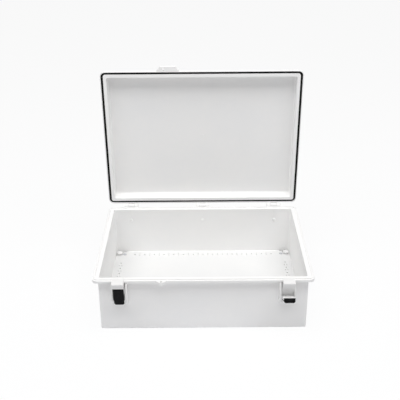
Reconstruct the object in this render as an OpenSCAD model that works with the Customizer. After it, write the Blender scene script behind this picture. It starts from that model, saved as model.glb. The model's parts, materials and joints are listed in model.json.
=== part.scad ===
// Hinged plastic enclosure lying on its underside, with the lid swung open.
// Origin: centre of the base's underside. +X to the right, +Y to the hinges, +Z up. Millimetres.

/* [Enclosure] */
// Overall width over the flanges
box_w = 380; // [300:1:500]
// Overall depth over the flanges
box_d = 280; // [220:1:400]
// Height of the base, from its underside to the top of its flange
base_h = 104; // [80:1:180]
// Height of the lid, from its rim to its outer face
lid_h = 26; // [20:1:60]
// Thickness of the walls, the floor and the lid's panel
wall = 2.5; // [2:0.1:4]
// How far the flanges stand out from the walls
flange_out = 9; // [9:0.1:14]
// Thickness of the base's flange
base_flange_t = 5; // [4:0.1:8]
// Thickness of the lid's flange
lid_flange_t = 5; // [5:0.1:8]
// Corner radius of the flanges, seen from above
flange_r = 10; // [9:0.5:16]
// Corner radius of the walls, seen from above
wall_r = 6; // [4:0.5:10]
// Radius of the lid's outer edges
lid_edge_r = 5; // [2:0.5:8]
// Radius of the base's lower edges
base_edge_r = 2.5; // [1:0.5:5]
// Radius along the flanges' rims
rim_edge_r = 1; // [0.4:0.1:1.5]

/* [Seal] */
// Distance from the flange's rim to the middle of the seal
seal_in = 3.6; // [3.4:0.1:6]
// Width of the rubber seal
seal_w = 4.4; // [3:0.1:4.6]
// Thickness of the rubber seal
seal_t = 2.2; // [1.6:0.1:2.4]
// Depth of the lid's groove
groove_depth = 3.8; // [3.4:0.1:4]
// Width of the base's sealing tongue
tongue_w = 2; // [1.4:0.1:2.4]
// Gap between the closed lid and the base's flange
lid_gap = 0.3; // [0.2:0.05:0.6]

/* [Hinges] */
// Distance of the outer hinges from the flange's left and right rims
hinge_in = 45; // [26:1:90]
// Width of one hinge
hinge_w = 28; // [24:0.5:40]
// Width of the lid's knuckle
lid_knuckle_w = 12; // [8:0.5:16]
// How far the hinge line lies behind the flange
hinge_back = 6.5; // [6.5:0.1:9]
// Radius of the knuckles
knuckle_r = 4.5; // [4:0.1:5.5]
// Radius of the hinge pins
hinge_pin_r = 2; // [1.5:0.1:2.5]
// Height of the hinge leaf's plate on the back wall
leaf_h = 28; // [24:0.5:40]
// Thickness of the hinge leaf's plate
leaf_t = 3.5; // [2.5:0.1:4.5]
// How far the lid stands open, in degrees
lid_open = 86.5; // [0:0.5:100]

/* [Latches] */
// Distance of the latches from the flange's left and right rims
latch_in = 46.5; // [32:0.5:90]
// Width of a latch hook
hook_w = 19.6; // [18:0.2:26]
// Thickness of a bracket's cheek
cheek_t = 3; // [2.5:0.1:5]
// Thickness of a bracket's back plate
bracket_t = 2.5; // [2:0.1:3.5]
// How far the latch pin stands out from the front wall
pin_out = 17; // [16.5:0.1:22]
// How far the latch pin lies below the top of the base's flange
pin_drop = 29.7; // [28:0.1:34]
// Radius of the latch pin
latch_pin_r = 1.5; // [1.2:0.1:1.6]
// How far the faces of hook and lever stand out from the latch pin
latch_face = 5; // [4.8:0.1:6.5]
// Height of the lever above its pin
lever_rise = 29.5; // [24:0.1:30]
// Length of the lever's tail below its pin
lever_tail = 12.6; // [10:0.1:13]
// Radius along the long edges of the lever's face
lever_edge_r = 3.2; // [1:0.1:3.6]
// Thickness of the lever's black cover
cover_t = 1.8; // [1.4:0.1:1.9]
// Height of the hook's front face
hook_face_h = 10.5; // [9:0.1:12]
// Thickness of the hook's web
web_t = 2.5; // [2:0.1:3]
// How far the hook's nose reaches over the lid's flange
nose_bite = 4; // [2.5:0.1:5]
// Lean of both hooks away from the lid, in degrees
hook_open = 17; // [0:0.5:35]
// Swing of the right lever out of its hook, in degrees
right_lever_open = 48.5; // [0:0.5:60]

/* [Seal lug] */
// Distance of the seal hole to the left of the middle
lug_x = 71.5; // [0:0.5:100]
// Radius of the hole for a wire seal or a padlock
lug_hole_r = 2.5; // [2:0.1:3]
// Distance of the seal hole in front of the flange
lug_hole_out = 3.6; // [3.4:0.1:6]
// Width of the base's lug where it leaves the flange
base_lug_w = 20; // [14:0.5:30]
// Width of the lid's lift tab where it leaves the flange
lift_tab_w = 42; // [36:0.5:60]
// How far the lid's lift tab stands out
lift_tab_out = 9; // [7.5:0.1:12]

/* [Inside] */
// Gap between the mounting plate and the side walls
plate_gap_x = 1; // [0.6:0.1:8]
// Gap between the mounting plate and the front and back walls
plate_gap_y = 3.5; // [0.6:0.1:10]
// Thickness of the mounting plate
plate_t = 2.4; // [2:0.1:5]
// Height of the plate's middle field above its border
plate_field_t = 0.6; // [0.3:0.1:1.2]
// Width of the plate's border along the side walls
plate_border_x = 20.5; // [18:0.5:28]
// Width of the plate's border along the front and back walls
plate_border_y = 27; // [22:0.5:34]
// Distance of the pilot holes from the plate's left and right edges
pilot_in_x = 12; // [9:0.5:14]
// Distance of the pilot holes from the plate's front and back edges
pilot_in_y = 11; // [9:0.5:16]
// Height of the posts that carry the plate, above the floor
standoff_h = 3.5; // [3:0.1:12]
// Radius of the posts that carry the plate
standoff_r = 5; // [4:0.1:6]
// Distance of the plate's screws from the side walls
plate_screw_in_x = 18; // [18:0.5:24]
// Distance of the plate's screws from the front and back walls
plate_screw_in_y = 14; // [13:0.5:24]
// Pitch of the plate's pilot holes
pilot_pitch = 20; // [15:1:40]
// Radius of the plate's pilot holes
pilot_r = 1.4; // [0.8:0.1:1.6]
// Spread of the paired pilot holes either side of their line
pilot_pair = 2.6; // [2.4:0.1:4]
// Distance of the wall-fixing posts from the side walls
post_in_x = 7.5; // [6.5:0.1:9]
// Distance of the wall-fixing posts from the front and back walls
post_in_y = 10.5; // [6.5:0.1:12]
// Radius of the wall-fixing posts
post_r = 5.4; // [5:0.1:6]
// Height of the wall-fixing posts above the floor
post_h = 7.6; // [7:0.1:14]
// Radius of the wall-fixing holes
fixing_hole_r = 2.6; // [2:0.1:3]

/* [Fasteners] */
// Radius of the screws' shanks
screw_r = 1.6; // [1.4:0.1:1.8]
// Radius of the screws' heads
head_r = 3.2; // [2.8:0.1:3.6]
// Height of the screws' heads
head_h = 1.8; // [1.4:0.1:2.4]
// Running clearance round pins
pin_clear = 0.05; // [0.02:0.01:0.09]
// Clearance of screws in their holes
screw_clear = 0.05; // [0.02:0.01:0.2]
// Side clearance between parts that turn past each other
side_clear = 0.4; // [0.3:0.05:0.6]
// Fitting gap between parts that are fixed together
seat_gap = 0.3; // [0.2:0.05:0.5]

/* [Hidden] */
$fn = 48;
cut = 1;
abs_colour = "whitesmoke";
dark_colour = [0.09, 0.09, 0.10];
rubber_colour = [0.07, 0.07, 0.07];
steel_colour = [0.68, 0.69, 0.71];

wall_w = box_w - 2 * flange_out;
wall_d = box_d - 2 * flange_out;
inner_w = wall_w - 2 * wall;
inner_d = wall_d - 2 * wall;
inner_r = max(wall_r - wall, 1);

tongue_h = lid_gap + groove_depth - seal_t - seat_gap;

hinge_x = box_w / 2 - hinge_in;
hinge_y = box_d / 2 + hinge_back;
hinge_z = base_h;
hinge_places = [-hinge_x, 0, hinge_x];
leaf_top = base_h - base_flange_t - seat_gap;
leaf_shelf_t = 4.4;
hinge_bore_r = hinge_pin_r + pin_clear;
hinge_screw_z = base_h - 24;

latch_x = box_w / 2 - latch_in;
pin_y = -(wall_d / 2 + pin_out);
pin_z = base_h - pin_drop;
latch_bore_r = latch_pin_r + pin_clear;
cheek_gap = hook_w / 2 + 2.5 * side_clear;
bracket_w = 2 * (cheek_gap + cheek_t);
bracket_top = base_h - base_flange_t - seat_gap;
bracket_foot = pin_z - 19.5;
bracket_screw_places = [bracket_foot + 4, bracket_top - 7];
bracket_boss_out = 8.5;
ear_t = 2.2;
ear_r = latch_pin_r + 1.4;
web_back = flange_out + 2.1 - pin_out;
web_front = web_back + web_t;
web_low = ear_r + 1.1;
nose_low = pin_drop + lid_gap + lid_flange_t + side_clear;
nose_tip = flange_out - pin_out - nose_bite;
hook_face_low = lever_rise + side_clear;
hook_top = hook_face_low + hook_face_h;
hook_fillet = 1.5;
lever_w = hook_w - 1;
lever_back = web_front + side_clear;
cover_back = latch_face - cover_t;
cover_end_t = 2;
core_top = lever_rise - cover_end_t;
core_low = ear_r + 2.6;
core_narrow_w = hook_w - 2 * (ear_t + side_clear);
cover_narrow_w = hook_w - 3;
peg_r = 1.5;
peg_places = [12, 21];

lug_y = -(box_d / 2 + lug_hole_out);
lug_tip_r = lug_hole_r + 1.6;
lift_tab_left = -lug_x - 12.5;

plate_w = inner_w - 2 * plate_gap_x;
plate_d = inner_d - 2 * plate_gap_y;
plate_z = wall + standoff_h;
screw_floor = 1;
plate_screw_x = inner_w / 2 - plate_screw_in_x;
plate_screw_y = inner_d / 2 - plate_screw_in_y;
post_x = inner_w / 2 - post_in_x;
post_y = inner_d / 2 - post_in_y;
post_top = wall + post_h;
plug_t = 1.6;
plug_stem_r = fixing_hole_r + 0.9;
plug_stem_h = 3.4;
plug_bore_h = plug_stem_h + seat_gap;
pilot_x = plate_w / 2 - pilot_in_x;
pilot_y = plate_d / 2 - pilot_in_y;

// Rectangle with round corners
module round_rect(w, d, r) {
    square([w - 2 * r, d], center = true);
    square([w, d - 2 * r], center = true);
    for (x = [-1, 1], y = [-1, 1])
        translate([x * (w / 2 - r), y * (d / 2 - r)]) circle(r);
}

// Upright outline of a slab with round upper and lower edges
module slab_side(w, h, top_r, low_r) {
    translate([-w / 2, low_r]) square([w, h - top_r - low_r]);
    translate([-w / 2 + top_r, low_r]) square([w - 2 * top_r, h - low_r]);
    translate([-w / 2 + low_r, 0]) square([w - 2 * low_r, h - top_r]);
    for (s = [-1, 1]) {
        if (top_r > 0) translate([s * (w / 2 - top_r), h - top_r]) circle(top_r);
        if (low_r > 0) translate([s * (w / 2 - low_r), low_r]) circle(low_r);
    }
}

// Slab on z = 0 with round corners and round upper and lower edges
module soft_slab(w, d, h, corner_r, top_r, low_r) {
    intersection() {
        linear_extrude(h) round_rect(w, d, corner_r);
        translate([0, d, 0]) rotate([90, 0, 0]) linear_extrude(2 * d) slab_side(w, h, top_r, low_r);
        translate([-w, 0, 0]) rotate([90, 0, 90]) linear_extrude(2 * w) slab_side(d, h, top_r, low_r);
    }
}

// Flat ring that follows the flange, with its middle line the given distance inside the rim
module rim_ring(middle_in, width, h) {
    outer_in = middle_in - width / 2;
    inner_in = middle_in + width / 2;
    linear_extrude(h) difference() {
        round_rect(box_w - 2 * outer_in, box_d - 2 * outer_in, flange_r - outer_in);
        round_rect(box_w - 2 * inner_in, box_d - 2 * inner_in, flange_r - inner_in);
    }
}

// Extrudes an outline drawn as (back, up) along X
module along_x(length) {
    rotate([90, 0, 90]) linear_extrude(length, center = true) children();
}

// Extrudes an outline drawn as (out of the front wall, up) along X
module along_x_front(length) {
    rotate([90, 0, -90]) linear_extrude(length, center = true) children();
}

// Round bar along X
module bar_x(r, length) {
    rotate([0, 90, 0]) cylinder(h = length, r = r, center = true);
}

// The same thing at the four corners of a rectangle
module four_corners(x, y) {
    for (sx = [-1, 1], sy = [-1, 1]) translate([sx * x, sy * y, 0]) children();
}

// Pan-head screw with a cross recess: head above z = 0, shank below
module pan_screw(length) {
    slot = head_r * 0.9;
    difference() {
        union() {
            cylinder(h = head_h, r = head_r);
            translate([0, 0, -length]) cylinder(h = length, r = screw_r);
        }
        for (turn = [0, 90])
            rotate([0, 0, turn]) translate([-slot, -head_r / 8, head_h / 2]) cube([2 * slot, head_r / 4, head_h]);
    }
}

// Places a screw whose head seats on the inside of the front wall, driven outwards
module front_wall_screw(x, z) {
    translate([x, -inner_d / 2, z]) rotate([-90, 0, 0]) children();
}

// Places a screw whose head seats on the inside of the back wall, driven outwards
module back_wall_screw(x, z) {
    translate([x, inner_d / 2, z]) rotate([90, 0, 0]) children();
}

// Moves a closed lid's parts to the open lid's place
module lid_place() {
    translate([0, hinge_y, hinge_z]) rotate([-lid_open, 0, 0]) translate([0, -hinge_y, -hinge_z])
        translate([0, 0, base_h + lid_gap]) children();
}

// Lengths of the screws' shanks
bracket_screw_length = wall + bracket_boss_out - 1;
hinge_screw_length = wall + leaf_t - seat_gap;
plate_screw_length = plate_t + plate_z - screw_floor - seat_gap;

// Lug with a seal hole, standing out from the base's flange
module base_seal_lug() {
    translate([-lug_x, 0, base_h - base_flange_t]) linear_extrude(base_flange_t) {
        translate([0, lug_y]) circle(lug_tip_r);
        polygon([
            [-base_lug_w / 2, -box_d / 2 + rim_edge_r], [base_lug_w / 2, -box_d / 2 + rim_edge_r],
            [base_lug_w / 2, -box_d / 2], [lug_tip_r * 0.94, lug_y - lug_tip_r * 0.34],
            [-lug_tip_r * 0.94, lug_y - lug_tip_r * 0.34], [-base_lug_w / 2, -box_d / 2],
        ]);
    }
}

// Sloped tab on the lid's flange, to lift it by, with the seal hole's upper half
module lid_lift_tab() {
    slope = lift_tab_out * 0.75;
    linear_extrude(lid_flange_t) polygon([
        [lift_tab_left, -box_d / 2 + rim_edge_r], [lift_tab_left + lift_tab_w, -box_d / 2 + rim_edge_r],
        [lift_tab_left + lift_tab_w, -box_d / 2],
        [lift_tab_left + lift_tab_w - slope, -box_d / 2 - lift_tab_out],
        [lift_tab_left + slope, -box_d / 2 - lift_tab_out], [lift_tab_left, -box_d / 2],
    ]);
}

module base() {
    rib_h = 15;
    rib_w = 1.2;
    rib_out = 0.8;
    rib_x = hinge_x - 3;
    color(abs_colour) difference() {
        union() {
            difference() {
                union() {
                    soft_slab(wall_w, wall_d, base_h, wall_r, 0, base_edge_r);
                    translate([0, 0, base_h - base_flange_t])
                        soft_slab(box_w, box_d, base_flange_t, flange_r, rim_edge_r, rim_edge_r);
                    translate([0, 0, base_h]) rim_ring(seal_in, tongue_w, tongue_h);
                    base_seal_lug();
                }
                translate([0, 0, wall]) soft_slab(inner_w, inner_d, base_h, inner_r, 0, inner_r / 2);
            }
            four_corners(plate_screw_x, plate_screw_y) translate([0, 0, wall / 2])
                cylinder(h = wall / 2 + standoff_h, r = standoff_r);
            four_corners(post_x, post_y) translate([0, 0, wall / 2])
                cylinder(h = wall / 2 + post_h, r = post_r);
            for (s = [-1, 1])
                translate([s * rib_x - rib_w / 2, inner_d / 2 - rib_out, base_h - base_flange_t - rib_h])
                    cube([rib_w, rib_out + wall / 2, rib_h]);
        }
        four_corners(plate_screw_x, plate_screw_y) translate([0, 0, screw_floor])
            cylinder(h = plate_z - screw_floor + cut, r = screw_r + screw_clear);
        four_corners(post_x, post_y) {
            translate([0, 0, -cut]) cylinder(h = post_top + 2 * cut, r = fixing_hole_r);
            translate([0, 0, post_top - plug_bore_h]) cylinder(h = plug_bore_h + cut, r = plug_stem_r + screw_clear);
        }
        for (x = [-latch_x, latch_x], z = bracket_screw_places) front_wall_screw(x, z)
            translate([0, 0, -2 * wall]) cylinder(h = 3 * wall, r = screw_r + screw_clear);
        for (x = hinge_places) back_wall_screw(x, hinge_screw_z)
            translate([0, 0, -2 * wall]) cylinder(h = 3 * wall, r = screw_r + screw_clear);
        translate([-lug_x, lug_y, base_h - base_flange_t - cut]) cylinder(h = base_flange_t + 2 * cut, r = lug_hole_r);
    }
}

// One lid knuckle with the arm that joins it to the flange, in the closed lid's place
module lid_knuckle() {
    arm_low = 0.1;
    translate([0, 0, hinge_z - base_h - lid_gap]) difference() {
        along_x(lid_knuckle_w) {
            translate([hinge_y, 0]) circle(knuckle_r);
            translate([box_d / 2 - 2 * rim_edge_r, lid_gap + arm_low])
                square([hinge_back + 2 * rim_edge_r, knuckle_r - lid_gap - arm_low]);
        }
        translate([0, hinge_y, 0]) bar_x(hinge_bore_r, lid_knuckle_w + 2 * cut);
    }
}

module lid() {
    color(abs_colour) lid_place() difference() {
        union() {
            soft_slab(wall_w, wall_d, lid_h - lid_gap, wall_r, lid_edge_r, 0);
            soft_slab(box_w, box_d, lid_flange_t, flange_r, rim_edge_r, rim_edge_r / 2);
            lid_lift_tab();
            for (x = hinge_places) translate([x, 0, 0]) lid_knuckle();
        }
        translate([0, 0, -cut])
            soft_slab(inner_w, inner_d, lid_h - lid_gap - wall + cut, inner_r, max(lid_edge_r - wall, 0.5), 0);
        translate([0, 0, -cut]) rim_ring(seal_in, seal_w, groove_depth + cut);
        translate([-lug_x, lug_y, -cut]) cylinder(h = lid_flange_t + 2 * cut, r = lug_hole_r);
    }
}

module lid_gasket() {
    color(rubber_colour) lid_place()
        translate([0, 0, groove_depth - seal_t]) rim_ring(seal_in, seal_w - 2 * screw_clear, seal_t);
}

// Pilot holes along one edge of the plate: singles on the line, pairs half a pitch on
module pilot_row(length) {
    steps = floor(length / pilot_pitch / 2);
    for (k = [-steps:steps]) {
        translate([k * pilot_pitch, 0]) circle(pilot_r);
        if (k < steps) for (s = [-1, 1]) translate([(k + 0.5) * pilot_pitch, s * pilot_pair]) circle(pilot_r * 0.8);
    }
}

module mounting_plate() {
    notch_r = post_r + 2;
    notch_out = post_in_x + post_in_y;
    row_x = 2 * plate_screw_x - 2 * pilot_pitch;
    row_y = 2 * plate_screw_y - 2 * pilot_pitch;
    color(abs_colour) translate([0, 0, plate_z]) difference() {
        union() {
            linear_extrude(plate_t) difference() {
                square([plate_w, plate_d], center = true);
                for (sx = [-1, 1], sy = [-1, 1])
                    translate([sx * (post_x + notch_out), sy * (post_y + notch_out)])
                        round_rect(2 * (notch_out + notch_r), 2 * (notch_out + notch_r), notch_r);
            }
            linear_extrude(plate_t + plate_field_t)
                round_rect(plate_w - 2 * plate_border_x, plate_d - 2 * plate_border_y, 4);
        }
        four_corners(plate_screw_x, plate_screw_y) translate([0, 0, -cut])
            cylinder(h = plate_t + 2 * cut, r = screw_r + 4 * screw_clear);
        translate([0, 0, -cut]) linear_extrude(plate_t + 2 * cut) {
            for (s = [-1, 1]) {
                translate([0, s * pilot_y]) pilot_row(row_x);
                translate([s * pilot_x, 0]) rotate(90) pilot_row(row_y);
            }
        }
    }
}

module plate_screws() {
    color(steel_colour) four_corners(plate_screw_x, plate_screw_y)
        translate([0, 0, plate_z + plate_t]) pan_screw(plate_screw_length);
}

// Plugs that close the wall-fixing holes from the inside
module fixing_plugs() {
    color(abs_colour) four_corners(post_x, post_y) translate([0, 0, post_top]) {
        cylinder(h = plug_t, r = post_r);
        translate([0, 0, -plug_stem_h]) cylinder(h = plug_stem_h, r = plug_stem_r);
    }
}

// Outline of a hinge leaf: plate on the back wall, shelf under the flange, knuckle behind it
module leaf_outline(with_knuckle) {
    translate([wall_d / 2, leaf_top - leaf_h]) square([leaf_t, leaf_h]);
    translate([wall_d / 2, leaf_top - leaf_shelf_t])
        square([hinge_y + knuckle_r - wall_d / 2, leaf_shelf_t]);
    if (with_knuckle) {
        translate([hinge_y, hinge_z]) circle(knuckle_r);
        translate([box_d / 2 + 1, leaf_top - leaf_shelf_t])
            square([hinge_back + knuckle_r - 1, hinge_z - leaf_top + leaf_shelf_t]);
    }
}

module hinge_leaf(x) {
    side_w = (hinge_w - lid_knuckle_w) / 2 - side_clear;
    color(abs_colour) translate([x, 0, 0]) difference() {
        union() {
            along_x(hinge_w) leaf_outline(false);
            for (s = [-1, 1]) translate([s * (hinge_w - side_w) / 2, 0, 0]) along_x(side_w) leaf_outline(true);
        }
        translate([0, hinge_y, hinge_z]) bar_x(hinge_bore_r, hinge_w + 2 * cut);
        back_wall_screw(0, hinge_screw_z) translate([0, 0, -wall - leaf_t])
            cylinder(h = wall + leaf_t + cut, r = screw_r + screw_clear);
    }
}

module hinge_pin(x) {
    color(steel_colour) translate([x, hinge_y, hinge_z]) bar_x(hinge_pin_r, hinge_w);
}

module hinge_screws() {
    color(abs_colour) for (x = hinge_places) back_wall_screw(x, hinge_screw_z) pan_screw(hinge_screw_length);
}

// Side outline of a bracket's cheek, as (out of the front wall, up)
module cheek_outline() {
    boss_r = latch_pin_r + 3;
    translate([pin_out, pin_z]) circle(boss_r);
    polygon([
        [0, bracket_foot], [0, bracket_top], [flange_out, bracket_top],
        [pin_out + boss_r * 0.8, pin_z + boss_r * 0.6], [pin_out, pin_z],
        [pin_out - boss_r * 0.5, pin_z - boss_r * 0.87], [2 * bracket_t, bracket_foot],
    ]);
}

module latch_bracket(x) {
    boss_r = screw_r + 1.8;
    color(abs_colour) translate([x, 0, 0]) difference() {
        translate([0, -wall_d / 2, 0]) union() {
            for (s = [-1, 1]) translate([s * (cheek_gap + cheek_t / 2), 0, 0]) along_x_front(cheek_t) cheek_outline();
            translate([-bracket_w / 2, -bracket_t, bracket_foot]) cube([bracket_w, bracket_t, bracket_top - bracket_foot]);
            for (z = bracket_screw_places) translate([0, -bracket_t / 2, z]) rotate([90, 0, 0])
                cylinder(h = bracket_boss_out - bracket_t / 2, r = boss_r);
        }
        translate([0, pin_y, pin_z]) bar_x(latch_bore_r, bracket_w + 2 * cut);
        for (z = bracket_screw_places) front_wall_screw(0, z) translate([0, 0, -bracket_screw_length - seat_gap])
            cylinder(h = bracket_screw_length + seat_gap, r = screw_r + screw_clear);
    }
}

module bracket_screws() {
    color(steel_colour) for (x = [-latch_x, latch_x], z = bracket_screw_places)
        front_wall_screw(x, z) pan_screw(bracket_screw_length);
}

module latch_pin(x) {
    color(steel_colour) translate([x, pin_y, pin_z]) bar_x(latch_pin_r, bracket_w);
}

// Side outline of the hook's head and web, as (out, up) from the latch pin
module hook_outline() {
    crown_r = 2;
    translate([latch_face - crown_r, hook_top - crown_r]) circle(crown_r);
    polygon([
        [latch_face, hook_face_low], [latch_face, hook_top - crown_r], [latch_face - crown_r, hook_top],
        [web_front, hook_top], [nose_tip, nose_low + 1.6], [nose_tip, nose_low + 0.5],
        [nose_tip + 0.5, nose_low], [web_back - 0.5, nose_low], [web_back, nose_low - 2],
        [web_back, web_low], [web_front, web_low], [web_front, hook_face_low - hook_fillet],
        [web_front + hook_fillet, hook_face_low],
    ]);
}

// Side outline of one of the hook's two ears on the pin
module ear_outline() {
    reach = ear_r * 0.7;
    circle(ear_r);
    polygon([
        [web_back, web_low + 8], [web_front, web_low + 8], [web_front, web_low + 0.5],
        [-reach, reach], [0, 0], [-reach, -reach], [web_back, web_low],
    ]);
}

module hook(x) {
    color(abs_colour) translate([x, pin_y, pin_z]) rotate([hook_open, 0, 0]) difference() {
        union() {
            along_x_front(hook_w) hook_outline();
            for (s = [-1, 1]) translate([s * (hook_w - ear_t) / 2, 0, 0]) along_x_front(ear_t) ear_outline();
        }
        bar_x(latch_bore_r, hook_w + 2 * cut);
    }
}

// Moves a lever's parts, drawn upright with the pin at the origin, to their place
module lever_place(x, open) {
    translate([x, pin_y, pin_z]) rotate([hook_open + open, 0, 0]) children();
}

// Round bar out of the lever's face, from one distance to another
module face_bar(z, from, to, r) {
    translate([0, -from, z]) rotate([90, 0, 0]) cylinder(h = to - from, r = r);
}

// Bar with the cross-section of a lever: a flat back, and a face with round long edges
module lever_bar() {
    flat_w = lever_w - 2 * lever_edge_r;
    translate([0, 0, -lever_tail - cut]) linear_extrude(lever_rise + lever_tail + 2 * cut) {
        translate([-lever_w / 2, lever_edge_r - latch_face])
            square([lever_w, latch_face - lever_edge_r - lever_back + cut]);
        translate([-flat_w / 2, -latch_face]) square([flat_w, latch_face]);
        for (s = [-1, 1]) translate([s * flat_w / 2, lever_edge_r - latch_face]) circle(lever_edge_r);
    }
}

// White core of a lever: wide grip above the pin, narrow barrel and tail on it
module lever(x, open) {
    color(abs_colour) lever_place(x, open) difference() {
        intersection() {
            union() {
                along_x_front(lever_w) polygon([
                    [lever_back, core_low], [cover_back, core_low], [cover_back, core_top], [lever_back, core_top],
                ]);
                along_x_front(core_narrow_w) {
                    circle(ear_r);
                    polygon([
                        [lever_back, core_low + 1], [lever_back, -ear_r / 2], [cover_back - 2, 1 - lever_tail],
                        [cover_back, 1 - lever_tail], [cover_back, core_low + 1],
                    ]);
                }
            }
            lever_bar();
        }
        bar_x(latch_bore_r, hook_w);
        for (z = peg_places) face_bar(z, cover_back - peg_r * 2 - seat_gap, cover_back + cut, peg_r + screw_clear);
    }
}

// Front outline of the lever's cover: wide above the pin, narrow with a round end below it
module cover_outline() {
    wide_low = -0.7;
    end_r = 3;
    translate([0, (lever_rise + wide_low) / 2]) round_rect(lever_w, lever_rise - wide_low, 1.2);
    translate([-cover_narrow_w / 2, end_r - lever_tail]) square([cover_narrow_w, lever_tail - end_r + 2]);
    translate([0, end_r - lever_tail]) round_rect(cover_narrow_w, 2 * end_r, end_r - 0.2);
}

// Black cover of a lever: front plate with a shallow grip field, and a wall over the lever's end
module lever_cover(x, open) {
    field_depth = 0.5;
    color(dark_colour) lever_place(x, open) difference() {
        union() {
            intersection() {
                translate([0, -cover_back + lever_w, 0]) rotate([90, 0, 0]) linear_extrude(2 * lever_w) cover_outline();
                along_x_front(hook_w) polygon([
                    [latch_face, -lever_tail], [latch_face, lever_rise],
                    [lever_back + hook_fillet, lever_rise], [lever_back, lever_rise - hook_fillet],
                    [lever_back, core_top], [cover_back, core_top], [cover_back, -lever_tail],
                ]);
                lever_bar();
            }
            for (z = peg_places) face_bar(z, cover_back - peg_r * 2, cover_back + cover_t / 2, peg_r);
        }
        translate([0, field_depth - latch_face, lever_rise / 2]) rotate([90, 0, 0]) linear_extrude(cut)
            round_rect(lever_w - 2 * lever_edge_r, lever_rise - 5, 1.5);
    }
}

base();
lid();
lid_gasket();
mounting_plate();
plate_screws();
fixing_plugs();
hinge_leaf(hinge_places[0]);  // left_hinge_leaf
hinge_leaf(hinge_places[1]);  // centre_hinge_leaf
hinge_leaf(hinge_places[2]);  // right_hinge_leaf
hinge_pin(hinge_places[0]);  // left_hinge_pin
hinge_pin(hinge_places[1]);  // centre_hinge_pin
hinge_pin(hinge_places[2]);  // right_hinge_pin
hinge_screws();
latch_bracket(-latch_x);  // left_latch_bracket
latch_bracket(latch_x);  // right_latch_bracket
bracket_screws();
latch_pin(-latch_x);  // left_latch_pin
latch_pin(latch_x);  // right_latch_pin
hook(-latch_x);  // left_hook
hook(latch_x);  // right_hook
lever(-latch_x, 0);  // left_lever
lever(latch_x, right_lever_open);  // right_lever
lever_cover(-latch_x, 0);  // left_lever_cover
lever_cover(latch_x, right_lever_open);  // right_lever_cover
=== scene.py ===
"""Looks of a hinged plastic enclosure: its shells, seal, latches and screws, and a plain studio."""
import json
import math

import bmesh
import bpy
import numpy as np
from bpy.props import FloatProperty, FloatVectorProperty, IntProperty, PointerProperty
from mathutils import Matrix, Vector


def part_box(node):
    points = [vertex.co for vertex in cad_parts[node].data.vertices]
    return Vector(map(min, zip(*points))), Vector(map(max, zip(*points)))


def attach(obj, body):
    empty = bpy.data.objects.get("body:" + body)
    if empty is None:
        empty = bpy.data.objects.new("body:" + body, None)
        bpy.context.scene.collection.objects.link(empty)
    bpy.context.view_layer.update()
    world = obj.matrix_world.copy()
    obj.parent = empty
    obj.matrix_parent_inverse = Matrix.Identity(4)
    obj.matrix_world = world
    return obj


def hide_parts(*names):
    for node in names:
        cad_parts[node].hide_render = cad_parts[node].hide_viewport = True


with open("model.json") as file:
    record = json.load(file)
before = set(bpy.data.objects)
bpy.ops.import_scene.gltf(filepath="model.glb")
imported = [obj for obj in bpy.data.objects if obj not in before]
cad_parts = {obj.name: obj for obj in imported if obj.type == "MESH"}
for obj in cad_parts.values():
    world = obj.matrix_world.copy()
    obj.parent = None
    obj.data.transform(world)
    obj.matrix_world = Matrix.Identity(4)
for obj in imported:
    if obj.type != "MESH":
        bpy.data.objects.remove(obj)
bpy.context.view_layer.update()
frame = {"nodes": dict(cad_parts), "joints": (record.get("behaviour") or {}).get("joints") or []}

bl_info = {
    "name": "Hinged enclosure",
    "version": (1, 0, 0),
    "blender": (4, 5, 0),
    "location": "3D View > Sidebar > Enclosure",
    "description": "Finishes of a hinged plastic enclosure and the studio that it stands in",
    "category": "Object",
}

MM = 0.001
FULL_TURN = 2 * math.pi

# Points round a screw or a bar
ROUND_STEPS = 48

# Nodes by the finish that they take
SHELL_NODES = ("base", "lid")
HINGE_NODES = ("left_hinge_leaf", "centre_hinge_leaf", "right_hinge_leaf")
LATCH_NODES = (
    "left_latch_bracket", "right_latch_bracket", "left_hook", "right_hook", "left_lever", "right_lever",
)
PIN_NODES = (
    "left_hinge_pin", "centre_hinge_pin", "right_hinge_pin", "left_latch_pin", "right_latch_pin",
)

# The hinge line and how far the lid stands open, from the frame's own joint
LID_JOINT = next(joint for joint in frame["joints"] if joint["name"] == "lid_hinge")
HINGE_Y, HINGE_Z = LID_JOINT["pos_m"][1:]
LID_OPEN = math.radians(LID_JOINT["range_deg"][1] - LID_JOINT["range_deg"][0])

# The base's inside: half its width and depth, and the height of its floor
INSIDE_HALF = (178.5 * MM, 128.5 * MM)
FLOOR_TOP = 2.5 * MM

# Places on a lever, upright: heights from its pin, and distances out of the pin towards its face
LEVER_TOP = 29.5 * MM
LEVER_FOOT = -12.6 * MM
LEVER_FACE = 5.0 * MM
CORE_TOP = 27.6 * MM
CORE_FACE = 3.2 * MM


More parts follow.
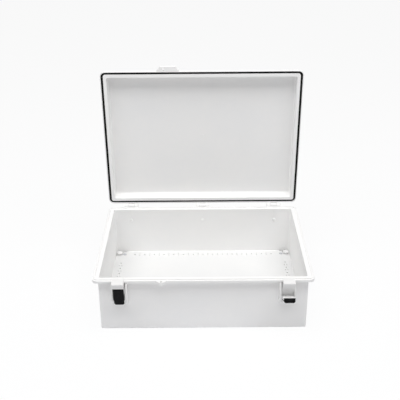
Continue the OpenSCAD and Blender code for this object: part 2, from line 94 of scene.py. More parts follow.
class EnclosureFinish(bpy.types.PropertyGroup):
    """Colours and fine sizes of the enclosure's surfaces."""

    shell_colour: FloatVectorProperty(
        name="Shell colour", description="Colour of the base, the lid and the hinges",
        default=(0.922, 0.918, 0.912), size=3, min=0, max=1, subtype="COLOR",
    )
    plate_colour: FloatVectorProperty(
        name="Plate colour", description="Colour of the mounting plate",
        default=(0.815, 0.815, 0.811), size=3, min=0, max=1, subtype="COLOR",
    )
    latch_colour: FloatVectorProperty(
        name="Latch colour", description="Colour of the latches' brackets, hooks and levers",
        default=(0.83, 0.827, 0.822), size=3, min=0, max=1, subtype="COLOR",
    )
    shine: FloatProperty(
        name="Shine", description="Strength of the pale plastics' reflections",
        default=0.12, min=0, max=1, subtype="FACTOR",
    )
    cover_colour: FloatVectorProperty(
        name="Cover colour", description="Colour of the levers' covers",
        default=(0.004, 0.004, 0.0045), size=3, min=0, max=1, subtype="COLOR",
    )
    cover_width: FloatProperty(
        name="Cover width", description="Width of a lever's cover over its side walls",
        default=19.2 * MM, min=19 * MM, max=21 * MM, precision=5, unit="LENGTH",
    )
    cover_tail: FloatProperty(
        name="Cover tail width", description="Width of the tail of a lever's cover, below the pin",
        default=17.4 * MM, min=12 * MM, max=21 * MM, precision=5, unit="LENGTH",
    )
    cover_edge: FloatProperty(
        name="Cover edge", description="Radius of the long edges of a lever's cover",
        default=3.2 * MM, min=2 * MM, max=3.6 * MM, precision=5, unit="LENGTH",
    )
    cover_corner: FloatProperty(
        name="Cover corner", description="Radius of the lower corners of a lever's cover",
        default=4 * MM, min=1.2 * MM, max=8 * MM, precision=5, unit="LENGTH",
    )
    seal_colour: FloatVectorProperty(
        name="Seal colour", description="Colour of the rubber seal in the lid",
        default=(0.006, 0.006, 0.006), size=3, min=0, max=1, subtype="COLOR",
    )
    steel_colour: FloatVectorProperty(
        name="Steel colour", description="Colour of the screws and pins",
        default=(0.62, 0.63, 0.65), size=3, min=0, max=1, subtype="COLOR",
    )
    grain_size: FloatProperty(
        name="Grain size", description="Size of the moulded grain's bumps",
        default=0.6 * MM, min=0.1 * MM, max=3 * MM, precision=5, unit="LENGTH",
    )
    grain_depth: FloatProperty(
        name="Grain depth", description="Depth of the moulded grain",
        default=0.03 * MM, min=0, max=0.5 * MM, precision=6, unit="LENGTH",
    )
    ledge_gap: FloatProperty(
        name="Ledge gap", description="Gap round the bars of the ledge beside the mounting plate",
        default=0.05 * MM, min=0.01 * MM, max=0.3 * MM, precision=5, unit="LENGTH",
    )
    field_rise: FloatProperty(
        name="Field rise", description="Height of the mounting plate's middle field above its border",
        default=0.6 * MM, min=0, max=2 * MM, precision=5, unit="LENGTH",
    )
    ledge_half_x: FloatProperty(
        name="Ledge half width",
        description="Half the length of the ledge's bars along the front and back walls",
        default=158 * MM, min=50 * MM, max=164 * MM, precision=5, unit="LENGTH",
    )
    ledge_half_y: FloatProperty(
        name="Ledge half depth", description="Half the length of the ledge's bars along the side walls",
        default=108 * MM, min=50 * MM, max=111 * MM, precision=5, unit="LENGTH",
    )
    seal_corner: FloatProperty(
        name="Seal corner", description="Radius of the seal's middle line at the lid's corners",
        default=6.4 * MM, min=1 * MM, max=20 * MM, precision=5, unit="LENGTH",
    )
    seal_width: FloatProperty(
        name="Seal width", description="Width of the seal's bead",
        default=4.3 * MM, min=1 * MM, max=8 * MM, precision=5, unit="LENGTH",
    )
    screw_head_r: FloatProperty(
        name="Screw head radius", description="Radius of the screws' pan heads",
        default=3.2 * MM, min=1 * MM, max=6 * MM, precision=5, unit="LENGTH",
    )
    screw_head_h: FloatProperty(
        name="Screw head height", description="Height of the screws' pan heads",
        default=1.8 * MM, min=0.5 * MM, max=4 * MM, precision=5, unit="LENGTH",
    )
    screw_r: FloatProperty(
        name="Screw radius", description="Radius over the screws' threads",
        default=1.6 * MM, min=0.5 * MM, max=4 * MM, precision=5, unit="LENGTH",
    )
    thread_pitch: FloatProperty(
        name="Thread pitch", description="Pitch of the screws' threads",
        default=1.2 * MM, min=0.4 * MM, max=3 * MM, precision=5, unit="LENGTH",
    )
    lid_panel_in: FloatProperty(
        name="Lid panel height",
        description="Height of the lid's inner face above the hinge line, with the lid shut",
        default=23.5 * MM, min=5 * MM, max=80 * MM, precision=5, unit="LENGTH",
    )
    gate_r: FloatProperty(
        name="Gate mark radius", description="Radius of the moulding gate's mark in the middle of the lid",
        default=3.6 * MM, min=1 * MM, max=10 * MM, precision=5, unit="LENGTH",
    )


class EnclosureStudio(bpy.types.PropertyGroup):
    """Camera, floor and lights."""

    camera_place: FloatVectorProperty(
        name="Camera place", description="Where the camera stands",
        default=(-0.002406, -1.20715, 0.77390), size=3, unit="LENGTH", subtype="XYZ",
    )
    camera_yaw: FloatProperty(
        name="Camera yaw", description="Turn of the camera to the right",
        default=-0.002, unit="ROTATION",
    )
    camera_pitch: FloatProperty(
        name="Camera pitch", description="Tilt of the camera below the horizon",
        default=0.452, unit="ROTATION",
    )
    camera_roll: FloatProperty(
        name="Camera roll", description="Turn of the picture about the line of sight",
        default=0.008, unit="ROTATION",
    )
    focal_px: FloatProperty(
        name="Focal length in pixels", description="Focal length, counted in pixels of the square picture",
        default=739.45, min=100, max=4000,
    )
    picture_px: IntProperty(
        name="Picture size", description="Width and height of the square picture in pixels",
        default=400, min=100, max=4000, subtype="PIXEL",
    )
    key_size: FloatProperty(
        name="Key light size", description="Size of the soft light overhead from front to back",
        default=1.0, min=0.1, max=5, unit="LENGTH",
    )
    key_width: FloatProperty(
        name="Key light width", description="Size of the soft light overhead from left to right",
        default=2.6, min=0.1, max=5, unit="LENGTH",
    )
    key_place: FloatVectorProperty(
        name="Key light place", description="Middle of the soft light overhead",
        default=(0.0, -0.45, 1.6), size=3, unit="LENGTH", subtype="XYZ",
    )
    key_aim: FloatVectorProperty(
        name="Key light aim", description="Point that the soft light overhead faces",
        default=(0.0, 0.0, 0.12), size=3, unit="LENGTH", subtype="XYZ",
    )
    key_power: FloatProperty(
        name="Key light power", description="Power of the soft light overhead",
        default=29.5, min=0, max=1000, unit="POWER",
    )
    ambient: FloatProperty(
        name="Ambient light", description="Strength of the even light from all round",
        default=0.25, min=0, max=5,
    )
    floor_size: FloatProperty(
        name="Floor size", description="Side of the square floor",
        default=16.0, min=2, max=100, unit="LENGTH",
    )
    floor_colour: FloatVectorProperty(
        name="Floor colour", description="Colour of the floor",
        default=(0.93, 0.934, 0.955), size=3, min=0, max=1, subtype="COLOR",
    )
    floor_shade: FloatProperty(
        name="Floor shade",
        description="Share of its own light and shade that the floor shows against plain white",
        default=0.08, min=0, max=1, subtype="FACTOR",
    )


class Wire:
    """An output socket of a node tree. Arithmetic on wires adds Math nodes to the tree."""

    def __init__(self, tree, socket):
        self.tree = tree
        self.socket = socket

    def node(self, kind, settings=None, sockets=None, output=0):
        """Adds a node: its settings are set first, then its sockets take values or wires."""
        made = self.tree.nodes.new(kind)
        for name, value in (settings or {}).items():
            setattr(made, name, value)
        for name, value in (sockets or {}).items():
            if isinstance(value, Wire):
                self.tree.links.new(value.socket, made.inputs[name])
            else:
                made.inputs[name].default_value = value
        return Wire(self.tree, made.outputs[output]) if made.outputs else made

    def math(self, operation, first, second):
        """One Math node on two values."""
        return self.node("ShaderNodeMath", {"operation": operation}, {0: first, 1: second})

    def __add__(self, other):
        return self.math("ADD", self, other)

    def __radd__(self, other):
        return self.math("ADD", other, self)

    def __sub__(self, other):
        return self.math("SUBTRACT", self, other)

    def __rsub__(self, other):
        return self.math("SUBTRACT", other, self)

    def __mul__(self, other):
        return self.math("MULTIPLY", self, other)

    def __rmul__(self, other):
        return self.math("MULTIPLY", other, self)

    def larger(self, other):
        """The larger of two values."""
        return self.math("MAXIMUM", self, other)

    def ease(self, low, high):
        """0 below low, 1 above high and a smooth rise between them."""
        limits = {"Value": self, "From Min": low, "From Max": high}
        return self.node("ShaderNodeMapRange", {"interpolation_type": "SMOOTHSTEP"}, limits)

    def tint(self, low, high):
        """The colour low where this wire is 0, the colour high where it is 1."""
        colours = {0: self, 6: low if isinstance(low, Wire) else (*low, 1.0)}
        colours[7] = high if isinstance(high, Wire) else (*high, 1.0)
        return self.node("ShaderNodeMix", {"data_type": "RGBA"}, colours, output=2)

    def stretch(self, factors):
        """A position with each axis scaled."""
        return self.node("ShaderNodeVectorMath", {"operation": "MULTIPLY"}, {0: self, 1: factors})

    def noise(self, size, detail=2.0):
        """Cloudy noise at a position, with features of about the given size in metres."""
        return self.node("ShaderNodeTexNoise", {}, {"Vector": self, "Scale": 1.0 / size, "Detail": detail})

    def cells(self, size):
        """Distance to the nearest of a scatter of points, for pores and pits."""
        return self.node("ShaderNodeTexVoronoi", {}, {"Vector": self, "Scale": 1.0 / size})

    def bump(self, depth, strength=1.0):
        """A normal that follows this wire as a height, from 0 to the given depth in metres."""
        return self.node("ShaderNodeBump", {}, {"Height": self, "Distance": depth, "Strength": strength})


def blank_material(name):
    """A material with an empty tree, and the wire of its object coordinates."""
    material = bpy.data.materials.new(name)
    material.use_nodes = True
    tree = material.node_tree
    tree.nodes.clear()
    place = Wire(tree, None).node("ShaderNodeTexCoord", output="Object")
    return material, place


def put_surface(place, sockets):
    """Ends a material's tree in one Principled shader with the given sockets."""
    shader = place.node("ShaderNodeBsdfPrincipled", {}, sockets)
    place.node("ShaderNodeOutputMaterial", {}, {"Surface": shader})


def shade_of(colour, factors):
    """A colour with each channel multiplied."""
    return tuple(min(1.0, channel * factor) for channel, factor in zip(colour, factors))


def moulded_plastic(name, colour, finish, mean_roughness):
    """Moulded plastic: a fine eroded grain, a slow drift of tint and faint rubbed patches."""
    material, place = blank_material(name)
    drift = place.noise(90 * MM, detail=3)
    speck = place.noise(9 * MM, detail=4)
    grain = place.noise(finish.grain_size, detail=2)
    rubbed = place.noise(28 * MM, detail=5).ease(0.56, 0.72)
    tone = (drift * 0.7 + speck * 0.3).ease(0.3, 0.7)
    base = tone.tint(shade_of(colour, (0.985, 0.988, 0.992)), shade_of(colour, (1.008, 1.006, 1.002)))
    roughness = mean_roughness + (grain - 0.5) * 0.10 + (speck - 0.5) * 0.06 - rubbed * 0.05
    put_surface(place, {
        "Base Color": base, "Roughness": roughness, "Normal": grain.bump(finish.grain_depth),
        "IOR": 1.52, "Specular IOR Level": finish.shine,
    })
    return material


def black_plastic(name, colour, grain_size, grain_depth):
    """Black moulded plastic with a leathery grain and paler rubbed spots."""
    material, place = blank_material(name)
    grain = place.noise(grain_size, detail=3)
    pits = place.cells(grain_size * 2)
    rubbed = place.noise(7 * MM, detail=4).ease(0.5, 0.75)
    base = rubbed.tint(colour, shade_of(colour, (2.2, 2.2, 2.2)))
    height = grain * 0.6 + pits * 0.4
    put_surface(place, {
        "Base Color": base, "Roughness": 0.46 + (grain - 0.5) * 0.14 - rubbed * 0.06,
        "Normal": height.bump(grain_depth), "IOR": 1.5, "Specular IOR Level": 0.06,
    })
    return material


def foam_rubber(name, colour):
    """Foamed rubber: a skin with fine pores and a dusty bloom."""
    material, place = blank_material(name)
    pores = place.cells(0.5 * MM).ease(0.05, 0.4)
    bloom = place.noise(15 * MM, detail=4).ease(0.4, 0.8)
    base = bloom.tint(colour, shade_of(colour, (2.4, 2.4, 2.3)))
    put_surface(place, {
        "Base Color": base, "Roughness": 0.78 + bloom * 0.12, "Normal": pores.bump(0.08 * MM),
        "IOR": 1.5, "Specular IOR Level": 0.12,
    })
    return material


def plated_steel(name, colour):
    """Zinc-plated steel: fine drawn lines along X and a cloudy passivated film."""
    material, place = blank_material(name)
    lines = place.stretch((0.06, 1.0, 1.0)).noise(0.25 * MM, detail=2)
    cloud = place.noise(3 * MM, detail=3)
    base = cloud.tint(shade_of(colour, (0.90, 0.92, 0.98)), shade_of(colour, (1.06, 1.05, 1.0)))
    put_surface(place, {
        "Base Color": base, "Metallic": 1.0, "Roughness": 0.26 + cloud * 0.14 + (lines - 0.5) * 0.12,
        "Normal": lines.bump(0.01 * MM),
    })
    return material


def dress(names, material):
    """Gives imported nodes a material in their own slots."""
    for name in names:
        for slot in frame["nodes"][name].material_slots:
            slot.material = material


def open_lid(points):
    """Turns points of the shut lid about the hinge line to where the open lid stands."""
    turned = points.copy()
    back = points[..., 1] - HINGE_Y
    up = points[..., 2] - HINGE_Z
    turned[..., 1] = HINGE_Y + back * math.cos(LID_OPEN) + up * math.sin(LID_OPEN)
    turned[..., 2] = HINGE_Z - back * math.sin(LID_OPEN) + up * math.cos(LID_OPEN)
    return turned


def shut_box(name):
    """Lowest and highest corner of one of the lid's nodes with the lid turned shut."""
    mesh = frame["nodes"][name].data
    points = np.empty(len(mesh.vertices) * 3, np.float32)
    mesh.vertices.foreach_get("co", points)
    points = points.reshape(-1, 3).astype(float)
    back = points[:, 1] - HINGE_Y
    up = points[:, 2] - HINGE_Z
    y = HINGE_Y + back * math.cos(LID_OPEN) - up * math.sin(LID_OPEN)
    z = HINGE_Z + back * math.sin(LID_OPEN) + up * math.cos(LID_OPEN)
    shut = np.stack([points[:, 0], y, z], axis=1)
    return shut.min(axis=0), shut.max(axis=0)


def grid_faces(rows, columns, first, wrap_rows):
    """Quads between neighbours of a grid of points whose columns close round."""
    spans = rows if wrap_rows else rows - 1
    row = np.arange(spans)[:, None]
    column = np.arange(columns)[None, :]
    beside = (column + 1) % columns
    here = row * columns
    after = (row + 1) % rows * columns
    corners = (here + column, here + beside, after + beside, after + column)
    return first + np.stack(np.broadcast_arrays(*corners), axis=-1).reshape(-1, 4)


def solid_from_grids(name, grids, wrap_rows=False):
    """One smooth object of closed shells.

    Each grid holds points by row and column, and its columns close round.
    """
    weld = 1e-7
    faces = []
    first = 0
    for grid in grids:
        faces.append(grid_faces(grid.shape[0], grid.shape[1], first, wrap_rows))
        first += grid.shape[0] * grid.shape[1]
    points = np.concatenate([grid.reshape(-1, 3) for grid in grids])
    mesh = bpy.data.meshes.new(name)
    mesh.from_pydata(points.tolist(), [], np.concatenate(faces).tolist())
    shell = bmesh.new()
    shell.from_mesh(mesh)
    bmesh.ops.remove_doubles(shell, verts=shell.verts, dist=weld)
    bmesh.ops.recalc_face_normals(shell, faces=shell.faces)
    shell.to_mesh(mesh)
    shell.free()
    mesh.shade_smooth()
    made = bpy.data.objects.new(name, mesh)
    bpy.context.scene.collection.objects.link(made)
    return made


def rounded_loop(half_x, half_y, corners, corner_steps, side_steps):
    """Points round a rectangle, and the outward direction at each.

    Each corner is a quarter circle, and corners holds the radius of the upper ones and of the lower ones.
    """
    angles = np.linspace(0, math.pi / 2, corner_steps)
    points = []
    outward = []
    for quarter, (sx, sy) in enumerate(((1, 1), (-1, 1), (-1, -1), (1, -1))):
        turn = angles + quarter * math.pi / 2
        corner = corners[0] if sy > 0 else corners[1]
        normal = np.stack([np.cos(turn), np.sin(turn)], axis=1)
        centre = np.array([sx * (half_x - corner), sy * (half_y - corner)])
        points.append(centre + corner * normal)
        outward.append(normal)
    share = np.linspace(0, 1, side_steps + 2)[1:-1, None]
    path = []
    sides = []
    for quarter in range(4):
        start = points[quarter][-1]
        end = points[(quarter + 1) % 4][0]
        path += [points[quarter], start + share * (end - start)]
        sides += [outward[quarter], np.repeat(outward[quarter][-1:], side_steps, axis=0)]
    return np.concatenate(path), np.concatenate(sides)


def seal_bead(low, high, corner, width):
    """The seal's surface: a domed profile carried round the lid's groove.

    The profile is a squared-off oval: each side is the cosine or sine of the angle round it, raised to a
    power below one. Slow sines along the path make the bead swell a little, and one bump marks its join.
    """
    path, outward = rounded_loop(high[0] - width / 2, high[1] - width / 2, (corner, corner), 14, 70)
    middle = (low[:2] + high[:2]) / 2
    height = high[2] - low[2]
    angle = np.linspace(0, FULL_TURN, 22, endpoint=False)
    power = 0.62
    across = width / 2 * np.sign(np.cos(angle)) * np.abs(np.cos(angle)) ** power
    above = 0.5 + 0.5 * np.sign(np.sin(angle)) * np.abs(np.sin(angle)) ** power
    steps = np.linalg.norm(np.diff(path, axis=0, prepend=path[-1:]), axis=1)
    along = np.cumsum(steps)
    turns = FULL_TURN * along / along[-1]
    swell = 0.98 + 0.012 * np.sin(23 * turns) + 0.008 * np.sin(57 * turns)
    join_place = 0.62 * along[-1]
    join = np.exp(-((along - join_place) / (6 * MM)) ** 2)
    rise = np.minimum(swell * (1 + 0.02 * join), 1.0)
    grid = np.empty((len(path), len(angle), 3))
    grid[..., :2] = middle + path[:, None, :] + outward[:, None, :] * across[None, :, None]
    grid[..., 2] = high[2] - height * rise[:, None] * above[None, :]
    return open_lid(grid)


def smooth_step(values, low, high):
    """0 below low, 1 above high and a smooth rise between them."""
    share = np.clip((values - low) / (high - low), 0, 1)
    return share ** 2 * (3 - 2 * share)


def lever_cap(width, tail_width, edge, corner):
    """A lever's cover, upright about its pin: a dished face, round long edges, side lips and an end wall.

    Each row is a rectangle with round corners, seen from the front. Rows run from the middle of the dished
    face to its rim, round the edge by a quarter circle, back along the outer walls, over the walls' rim,
    forward along the inner walls and in to the middle of the hollow. The walls' depth eases from the
    plate's own beside the pin to a short lip above it and to the lever's whole depth at the end. All rows
    narrow to the tail below the pin. The dish is a squared cosine of the distance from the middle.
    """
    end_corner = 1.2 * MM
    end_edge = 0.6 * MM
    end_bevel = 1.5 * MM
    end_wall = LEVER_TOP - CORE_TOP
    least_corner = 0.1 * MM
    lip = 0.25 * MM
    dish = 0.3 * MM
    hair = 0.01 * MM
    plate_rim = CORE_FACE - 0.1 * MM
    lip_rim = LEVER_FACE - edge
    lever_back = -2.9 * MM

    # Heights between which the tail, the lips and the end wall ease in
    tail_span = (-1.9 * MM, -0.5 * MM)
    lip_span = (4.8 * MM, 7.5 * MM)
    end_span = (CORE_TOP + 0.1 * MM, CORE_TOP + 0.7 * MM)

    def loop(side_in, end_in):
        """The outline drawn in from its sides and foot, and from its upper end."""
        low = LEVER_FOOT + side_in
        high = LEVER_TOP - end_in
        radii = [max(radius - side_in, least_corner) for radius in (end_corner, corner)]
        path = rounded_loop(width / 2 - side_in, (high - low) / 2, radii, 8, 80)[0]
        path = path + np.array([0.0, (high + low) / 2])
        narrow = 1 - (1 - tail_width / width) * (1 - smooth_step(path[:, 1], *tail_span))
        return path * np.stack([narrow, np.ones_like(narrow)], axis=1)

    outer = loop(0.0, 0.0)
    rim = plate_rim + (lip_rim - plate_rim) * smooth_step(outer[:, 1], *lip_span)
    rim = rim + (lever_back - rim) * smooth_step(outer[:, 1], *end_span)
    level = np.ones(len(outer))
    middle = np.array([0.0, (LEVER_TOP + LEVER_FOOT) / 2])
    face_loop = loop(edge, end_edge)
    rows = []
    for share in np.linspace(0, 1, 12):
        depth = dish * math.cos(share * math.pi / 2) ** 2
        rows.append((middle + share * (face_loop - middle), level * (LEVER_FACE - depth)))
    for turn in np.linspace(0, math.pi / 2, 9)[1:-1]:
        drawn = 1 - math.sin(turn)
        back = np.maximum(LEVER_FACE - edge * (1 - math.cos(turn)), rim + 2 * hair)
        rows.append((loop(edge * drawn, end_edge * drawn), back))
    bevel = end_bevel * (outer[:, 1] > LEVER_TOP - end_corner)
    rows.append((outer, rim + bevel + hair))
    rows.append((loop(lip / 2, 0.8 * end_wall), rim))
    inner = loop(lip, end_wall)
    rows.append((inner, rim))
    rows.append((inner, level * CORE_FACE))
    for share in (0.6, 0.3, 0.0):
        rows.append((middle + share * (inner - middle), level * CORE_FACE))
    flat = np.stack([row[0] for row in rows])
    out = np.stack([row[1] for row in rows])
    return np.stack([flat[..., 0], -out, flat[..., 1]], axis=-1)


def lever_placed(points, side):
    """Points of an upright lever about its pin, turned and moved to where that side's lever rests."""
    joints = {joint["name"]: joint for joint in frame["joints"]}
    pivot = joints[f"{side}_lever_pivot"]
    open_turn = -math.radians(joints[f"{side}_hook_pivot"]["range_deg"][0] + pivot["range_deg"][0])
    placed = points.copy()
    placed[..., 1] = points[..., 1] * math.cos(open_turn) - points[..., 2] * math.sin(open_turn)
    placed[..., 2] = points[..., 1] * math.sin(open_turn) + points[..., 2] * math.cos(open_turn)
    return placed + np.array(pivot["pos_m"])


def rounded_bar(low, high):
    """A bar with slightly round edges that fills a box.

    It is a stretched ball: each of the cosines and sines of its two angles is raised to a power near zero.
    """
    power = 0.05
    around = np.linspace(0, FULL_TURN, ROUND_STEPS, endpoint=False)[None, :]
    upward = np.linspace(-math.pi / 2, math.pi / 2, 17)[:, None]
    cosines = [np.sign(np.cos(turn)) * np.abs(np.cos(turn)) ** power for turn in (around, upward)]
    sines = [np.sign(np.sin(turn)) * np.abs(np.sin(turn)) ** power for turn in (around, upward)]
    ring = cosines[1]
    ring[[0, -1]] = 0.0
    ball = np.stack(np.broadcast_arrays(ring * cosines[0], ring * sines[0], sines[1]), axis=-1)
    low, high = np.asarray(low), np.asarray(high)
    return (low + high) / 2 + ball * (high - low) / 2


def plate_ledges(gap, field_rise, clear_x, clear_y):
    """Four bars that stand on the base's floor and fill the gap between the mounting plate and the walls."""
    low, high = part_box("mounting_plate")
    bottom = FLOOR_TOP + gap
    top = high[2] - field_rise - gap
    bars = []
    for side in (-1, 1):
        x_ends = sorted((side * (high[0] + gap), side * (INSIDE_HALF[0] - gap)))
        y_ends = sorted((side * (high[1] + gap), side * (INSIDE_HALF[1] - gap)))
        bars.append(rounded_bar((x_ends[0], -clear_y, bottom), (x_ends[1], clear_y, top)))
        bars.append(rounded_bar((-clear_x, y_ends[0], bottom), (clear_x, y_ends[1], top)))
    return bars


def pan_screw(length, head_r, head_h, screw_r, pitch):
    """A pan-head screw about the Z axis with its seat at z = 0.

    Rows run from the middle of the head's top over its rim and down the shank to the tip. The top is a dome
    less a cross recess, which is deepest where the distance to either of two crossed bars is least. The
    shank's radius is a triangle wave of height less turns, which is a thread.
    """
    flat_share = 0.82
    dome_fall = 0.16
    rim_foot = 0.25
    bar_half = 0.17 * head_r
    bar_reach = 0.62 * head_r
    recess_depth = 0.62 * head_h
    root_share = 0.74
    tip_share = 0.15
    steps_per_turn = 6
    around = np.linspace(0, FULL_TURN, ROUND_STEPS, endpoint=False)[None, :]
    out = np.linspace(0, 1, 13)[:, None]
    edge = head_r * flat_share
    x = out * edge * np.cos(around)
    y = out * edge * np.sin(around)
    bar = np.minimum(np.abs(x), np.abs(y)) / bar_half
    reach = np.sqrt(x ** 2 + y ** 2) / bar_reach
    recess = np.clip(1.4 - bar, 0, 1) * np.clip((1.15 - reach) / 0.3, 0, 1)
    top = head_h * (1 - dome_fall * out ** 2) - recess_depth * recess
    turn = np.linspace(0, math.pi / 2, 7)[1:, None]
    rim_r = edge + (head_r - edge) * np.sin(turn)
    rim_z = head_h * (rim_foot + (1 - dome_fall - rim_foot) * np.cos(turn))
    seat_r = np.array([head_r * 0.97, screw_r])[:, None]
    seat_z = np.zeros((2, 1))
    depth = np.linspace(0.05, 1, int(length / pitch * steps_per_turn))[:, None] * length
    wave = np.abs(((depth / pitch - around / FULL_TURN) % 1.0) * 2 - 1)
    taper = np.clip((length - depth) / (2 * screw_r), 0, 1)
    shank_r = screw_r * (root_share + (1 - root_share) * wave) * (tip_share + (1 - tip_share) * taper)
    radius = [out * edge + 0 * around, rim_r + 0 * around, seat_r + 0 * around, shank_r, 0 * around]
    height = [top, rim_z + 0 * around, seat_z + 0 * around, -depth + 0 * around, -length + 0 * around]
    radius = np.concatenate(radius)
    height = np.concatenate(height)
    return np.stack([radius * np.cos(around), radius * np.sin(around), height], axis=-1)


def aimed(grid, place, out):
    """A shape about the Z axis, moved to a place with its Z axis along out."""
    side = np.array([1.0, 0.0, 0.0])
    other = np.cross(out, side)
    turned = grid[..., :1] * side + grid[..., 1:2] * other + grid[..., 2:] * np.asarray(out, float)
    return np.asarray(place) + turned


def gate_pip(radius):
    """The mark of a moulding gate about the Z axis: a shallow ring with a broken stub in its middle.

    The height is a broad low dome plus a narrow peak in the middle plus a ripple at two thirds of the radius,
    and the rim runs down a little below the face that it stands on.
    """
    around = np.linspace(0, FULL_TURN, 40, endpoint=False)[None, :]
    out = np.linspace(0, 1, 22)[:, None]
    ring = np.exp(-((out - 0.66) / 0.12) ** 2)
    stub = np.exp(-((out / 0.2) ** 2)) * (1 + 0.25 * np.cos(3 * around))
    height = radius * (0.05 * (1 - out ** 4) + 0.07 * ring + 0.12 * stub)
    under = -radius * 0.05 * np.ones_like(around)
    grid = np.stack([out * radius * np.cos(around), out * radius * np.sin(around), height], axis=-1)
    foot = np.stack([radius * np.cos(around), radius * np.sin(around), under], axis=-1)
    middle = np.stack([0 * around, 0 * around, under], axis=-1)
    return np.concatenate([grid, foot, middle])


class ENCLOSURE_OT_shells(bpy.types.Operator):
    """Finish the base, the lid and the hinge leaves as moulded plastic"""

    bl_idname = "enclosure.shells"
    bl_label = "Shells"

    def execute(self, context):
        finish = context.scene.enclosure_finish
        shell = moulded_plastic("shell_plastic", finish.shell_colour, finish, mean_roughness=0.48)
        dress(SHELL_NODES + HINGE_NODES + ("fixing_plugs",), shell)
        return {"FINISHED"}


class ENCLOSURE_OT_plate(bpy.types.Operator):
    """Finish the perforated mounting plate and lay the ledge round it"""

    bl_idname = "enclosure.plate"
    bl_label = "Mounting plate"

    def execute(self, context):
        finish = context.scene.enclosure_finish
        plate = moulded_plastic("plate_plastic", finish.plate_colour, finish, mean_roughness=0.5)
        dress(("mounting_plate",), plate)
        bars = plate_ledges(finish.ledge_gap, finish.field_rise, finish.ledge_half_x, finish.ledge_half_y)
        ledges = solid_from_grids("plate_ledges", bars)
        ledges.data.materials.append(bpy.data.materials["shell_plastic"])
        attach(ledges, "base")
        return {"FINISHED"}


class ENCLOSURE_OT_latches(bpy.types.Operator):
    """Finish the latches: white brackets, hooks and levers with black covers"""

    bl_idname = "enclosure.latches"
    bl_label = "Latches"

    def execute(self, context):
        finish = context.scene.enclosure_finish
        white = moulded_plastic("latch_plastic", finish.latch_colour, finish, mean_roughness=0.56)
        dress(LATCH_NODES, white)
        black = black_plastic("cover_plastic", finish.cover_colour, finish.grain_size, finish.grain_depth)
        cap = lever_cap(finish.cover_width, finish.cover_tail, finish.cover_edge, finish.cover_corner)
        for side in ("left", "right"):
            made = solid_from_grids(f"{side}_lever_cap", [lever_placed(cap, side)])
            made.data.materials.append(black)
            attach(made, f"{side}_lever")
            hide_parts(f"{side}_lever_cover")
        return {"FINISHED"}


class ENCLOSURE_OT_seal(bpy.types.Operator):
    """Lay the foamed rubber seal in the lid's groove"""

    bl_idname = "enclosure.seal"
    bl_label = "Seal"

    def execute(self, context):
        finish = context.scene.enclosure_finish
        low, high = shut_box("lid_gasket")
        surface = seal_bead(low, high, finish.seal_corner, finish.seal_width)
        bead = solid_from_grids("seal_bead", [surface], wrap_rows=True)
        bead.data.materials.append(foam_rubber("seal_rubber", finish.seal_colour))
        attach(bead, "lid")
        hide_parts("lid_gasket")
        return {"FINISHED"}


class ENCLOSURE_OT_steel(bpy.types.Operator):
    """Drive the pan-head screws and finish the pins"""

    bl_idname = "enclosure.steel"
    bl_label = "Screws and pins"

    def execute(self, context):
        finish = context.scene.enclosure_finish
        steel = plated_steel("plated_steel", finish.steel_colour)
        dress(PIN_NODES, steel)
        head = finish.screw_head_r
        nylon = bpy.data.materials["shell_plastic"]
        sets = (
            ("plate_screws", (0, 0, 1), 2, steel, "steel"),
            ("hinge_screws", (0, -1, 0), 1, nylon, "grey_abs"),
            ("bracket_screws", (0, 1, 0), 1, steel, "steel"),
        )
        for node, out, axis, material, slot in sets:
            low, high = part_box(node)
            length = high[axis] - low[axis] - finish.screw_head_h
            screw = pan_screw(length, head, finish.screw_head_h, finish.screw_r, finish.thread_pitch)
            ends = [(low[a] + head, high[a] - head) for a in range(3)]
            seat = high[axis] - finish.screw_head_h if out[axis] > 0 else low[axis] + finish.screw_head_h
            ends[axis] = (seat,)
            # The hinge screws stand in one row of three
            if node == "hinge_screws":
                ends[0] = (*ends[0], sum(ends[0]) / 2)
                ends[2] = ends[2][:1]
            places = np.array(np.meshgrid(*ends)).reshape(3, -1).T
            made = solid_from_grids(f"{node[:-1]}_set", [aimed(screw, place, out) for place in places])
            made.data.materials.append(material)
            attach(made, "base")
            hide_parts(node)
        return {"FINISHED"}


class ENCLOSURE_OT_gate(bpy.types.Operator):
    """Leave the moulding gate's mark in the middle of the lid"""

    bl_idname = "enclosure.gate"
    bl_label = "Gate mark"

    def execute(self, context):
        finish = context.scene.enclosure_finish
        low, high = shut_box("lid_gasket")
        middle = ((low[0] + high[0]) / 2, (low[1] + high[1]) / 2, HINGE_Z + finish.lid_panel_in)
        pip = aimed(gate_pip(finish.gate_r), middle, (0.0, 0.0, -1.0))
        made = solid_from_grids("lid_gate_mark", [open_lid(pip)])
        made.data.materials.append(bpy.data.materials["shell_plastic"])
        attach(made, "lid")
        return {"FINISHED"}


def seen_directly(start):
    """1 for rays from the camera, from mirrors and through glass, 0 for light that falls on the object."""
    camera = start.node("ShaderNodeLightPath", output="Is Camera Ray")
    glossy = start.node("ShaderNodeLightPath", output="Is Glossy Ray")
    through = start.node("ShaderNodeLightPath", output="Is Transmission Ray")
    return camera.larger(glossy).larger(through)


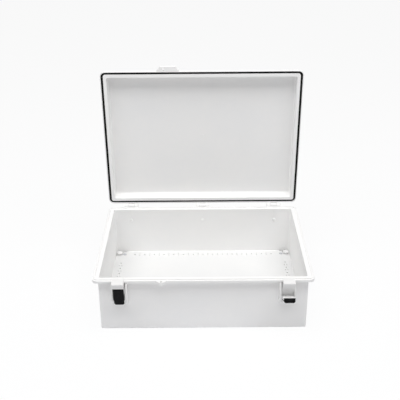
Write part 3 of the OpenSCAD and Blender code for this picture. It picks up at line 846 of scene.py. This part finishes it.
class ENCLOSURE_OT_stage(bpy.types.Operator):
    """Set up the pale floor, the soft light and the camera"""

    bl_idname = "enclosure.stage"
    bl_label = "Stage"

    def execute(self, context):
        studio = context.scene.enclosure_studio
        self.lay_floor(context, studio)
        self.light_world(context, studio)
        self.hang_light(context, studio)
        self.place_camera(context, studio)
        context.scene.view_settings.view_transform = "Standard"
        return {"FINISHED"}

    def lay_floor(self, context, studio):
        """A white floor that shows a share of its own shade and bounces light as a pale sheet."""
        half = studio.floor_size / 2
        mesh = bpy.data.meshes.new("floor")
        corners = [(-half, -half, 0), (half, -half, 0), (half, half, 0), (-half, half, 0)]
        mesh.from_pydata(corners, [], [(0, 1, 2, 3)])
        floor = bpy.data.objects.new("floor", mesh)
        context.scene.collection.objects.link(floor)
        material, place = blank_material("floor_sheet")
        own = place.node("ShaderNodeBsdfDiffuse", {}, {"Color": (*studio.floor_colour, 1.0)})
        white = place.node("ShaderNodeEmission", {}, {"Strength": 1.0})
        factor = seen_directly(place) * (1.0 - studio.floor_shade)
        shader = place.node("ShaderNodeMixShader", {}, {0: factor, 1: own, 2: white})
        place.node("ShaderNodeOutputMaterial", {}, {"Surface": shader})
        mesh.materials.append(material)

    def light_world(self, context, studio):
        """Even light from all round, which shows as plain white."""
        world = bpy.data.worlds.new("studio")
        world.use_nodes = True
        world.node_tree.nodes.clear()
        start = Wire(world.node_tree, None)
        plain = (1.0, 1.0, 1.0, 1.0)
        even = start.node("ShaderNodeBackground", {}, {"Color": plain, "Strength": studio.ambient})
        white = start.node("ShaderNodeBackground", {}, {"Color": plain, "Strength": 1.0})
        shader = start.node("ShaderNodeMixShader", {}, {0: seen_directly(start), 1: even, 2: white})
        start.node("ShaderNodeOutputWorld", {}, {"Surface": shader})
        context.scene.world = world

    def hang_light(self, context, studio):
        """One wide soft light overhead and in front, facing the enclosure."""
        lamp = bpy.data.lights.new("key_light", "AREA")
        lamp.shape = "RECTANGLE"
        lamp.size = studio.key_width
        lamp.size_y = studio.key_size
        lamp.energy = studio.key_power
        hung = bpy.data.objects.new("key_light", lamp)
        way = Vector(studio.key_aim) - Vector(studio.key_place)
        turn = way.to_track_quat("-Z", "Y").to_matrix().to_4x4()
        hung.matrix_world = Matrix.Translation(studio.key_place) @ turn
        context.scene.collection.objects.link(hung)

    def place_camera(self, context, studio):
        """The camera looks along yaw and pitch, and its picture is rolled about that line."""
        yaw = studio.camera_yaw
        pitch = studio.camera_pitch
        ahead = np.array([math.sin(yaw) * math.cos(pitch), math.cos(yaw) * math.cos(pitch), -math.sin(pitch)])
        level = np.array([math.cos(yaw), -math.sin(yaw), 0.0])
        below = np.cross(ahead, level)
        right = math.cos(studio.camera_roll) * level + math.sin(studio.camera_roll) * below
        down = math.cos(studio.camera_roll) * below - math.sin(studio.camera_roll) * level
        lens = bpy.data.cameras.new("camera")
        lens.sensor_width = 36.0
        lens.lens = lens.sensor_width * studio.focal_px / studio.picture_px
        camera = bpy.data.objects.new("camera", lens)
        turn = Matrix((right, -down, -ahead)).transposed().to_4x4()
        camera.matrix_world = Matrix.Translation(studio.camera_place) @ turn
        context.scene.collection.objects.link(camera)
        context.scene.camera = camera


class ENCLOSURE_PT_panel(bpy.types.Panel):
    """Lists the enclosure's steps in the sidebar"""

    bl_idname = "ENCLOSURE_PT_panel"
    bl_label = "Hinged enclosure"
    bl_space_type = "VIEW_3D"
    bl_region_type = "UI"
    bl_category = "Enclosure"

    def draw(self, context):
        for step in STEPS:
            self.layout.operator(step.bl_idname)
        for group in (context.scene.enclosure_finish, context.scene.enclosure_studio):
            for name in group.bl_rna.properties.keys():
                if name not in ("name", "rna_type"):
                    self.layout.prop(group, name)


STEPS = (
    ENCLOSURE_OT_shells, ENCLOSURE_OT_plate, ENCLOSURE_OT_latches, ENCLOSURE_OT_seal, ENCLOSURE_OT_steel,
    ENCLOSURE_OT_gate, ENCLOSURE_OT_stage,
)
CLASSES = (EnclosureFinish, EnclosureStudio, *STEPS, ENCLOSURE_PT_panel)


def register():
    """Adds the classes and the scene's two groups of properties."""
    for each in CLASSES:
        bpy.utils.register_class(each)
    bpy.types.Scene.enclosure_finish = PointerProperty(type=EnclosureFinish)
    bpy.types.Scene.enclosure_studio = PointerProperty(type=EnclosureStudio)


def unregister():
    """Takes away what register adds."""
    del bpy.types.Scene.enclosure_studio
    del bpy.types.Scene.enclosure_finish
    for each in reversed(CLASSES):
        bpy.utils.unregister_class(each)


def main():
    """Builds the looks step by step."""
    register()
    bpy.ops.enclosure.shells()
    bpy.ops.enclosure.plate()
    bpy.ops.enclosure.latches()
    bpy.ops.enclosure.seal()
    bpy.ops.enclosure.steel()
    bpy.ops.enclosure.gate()
    bpy.ops.enclosure.stage()


if __name__ == "__main__":
    main()
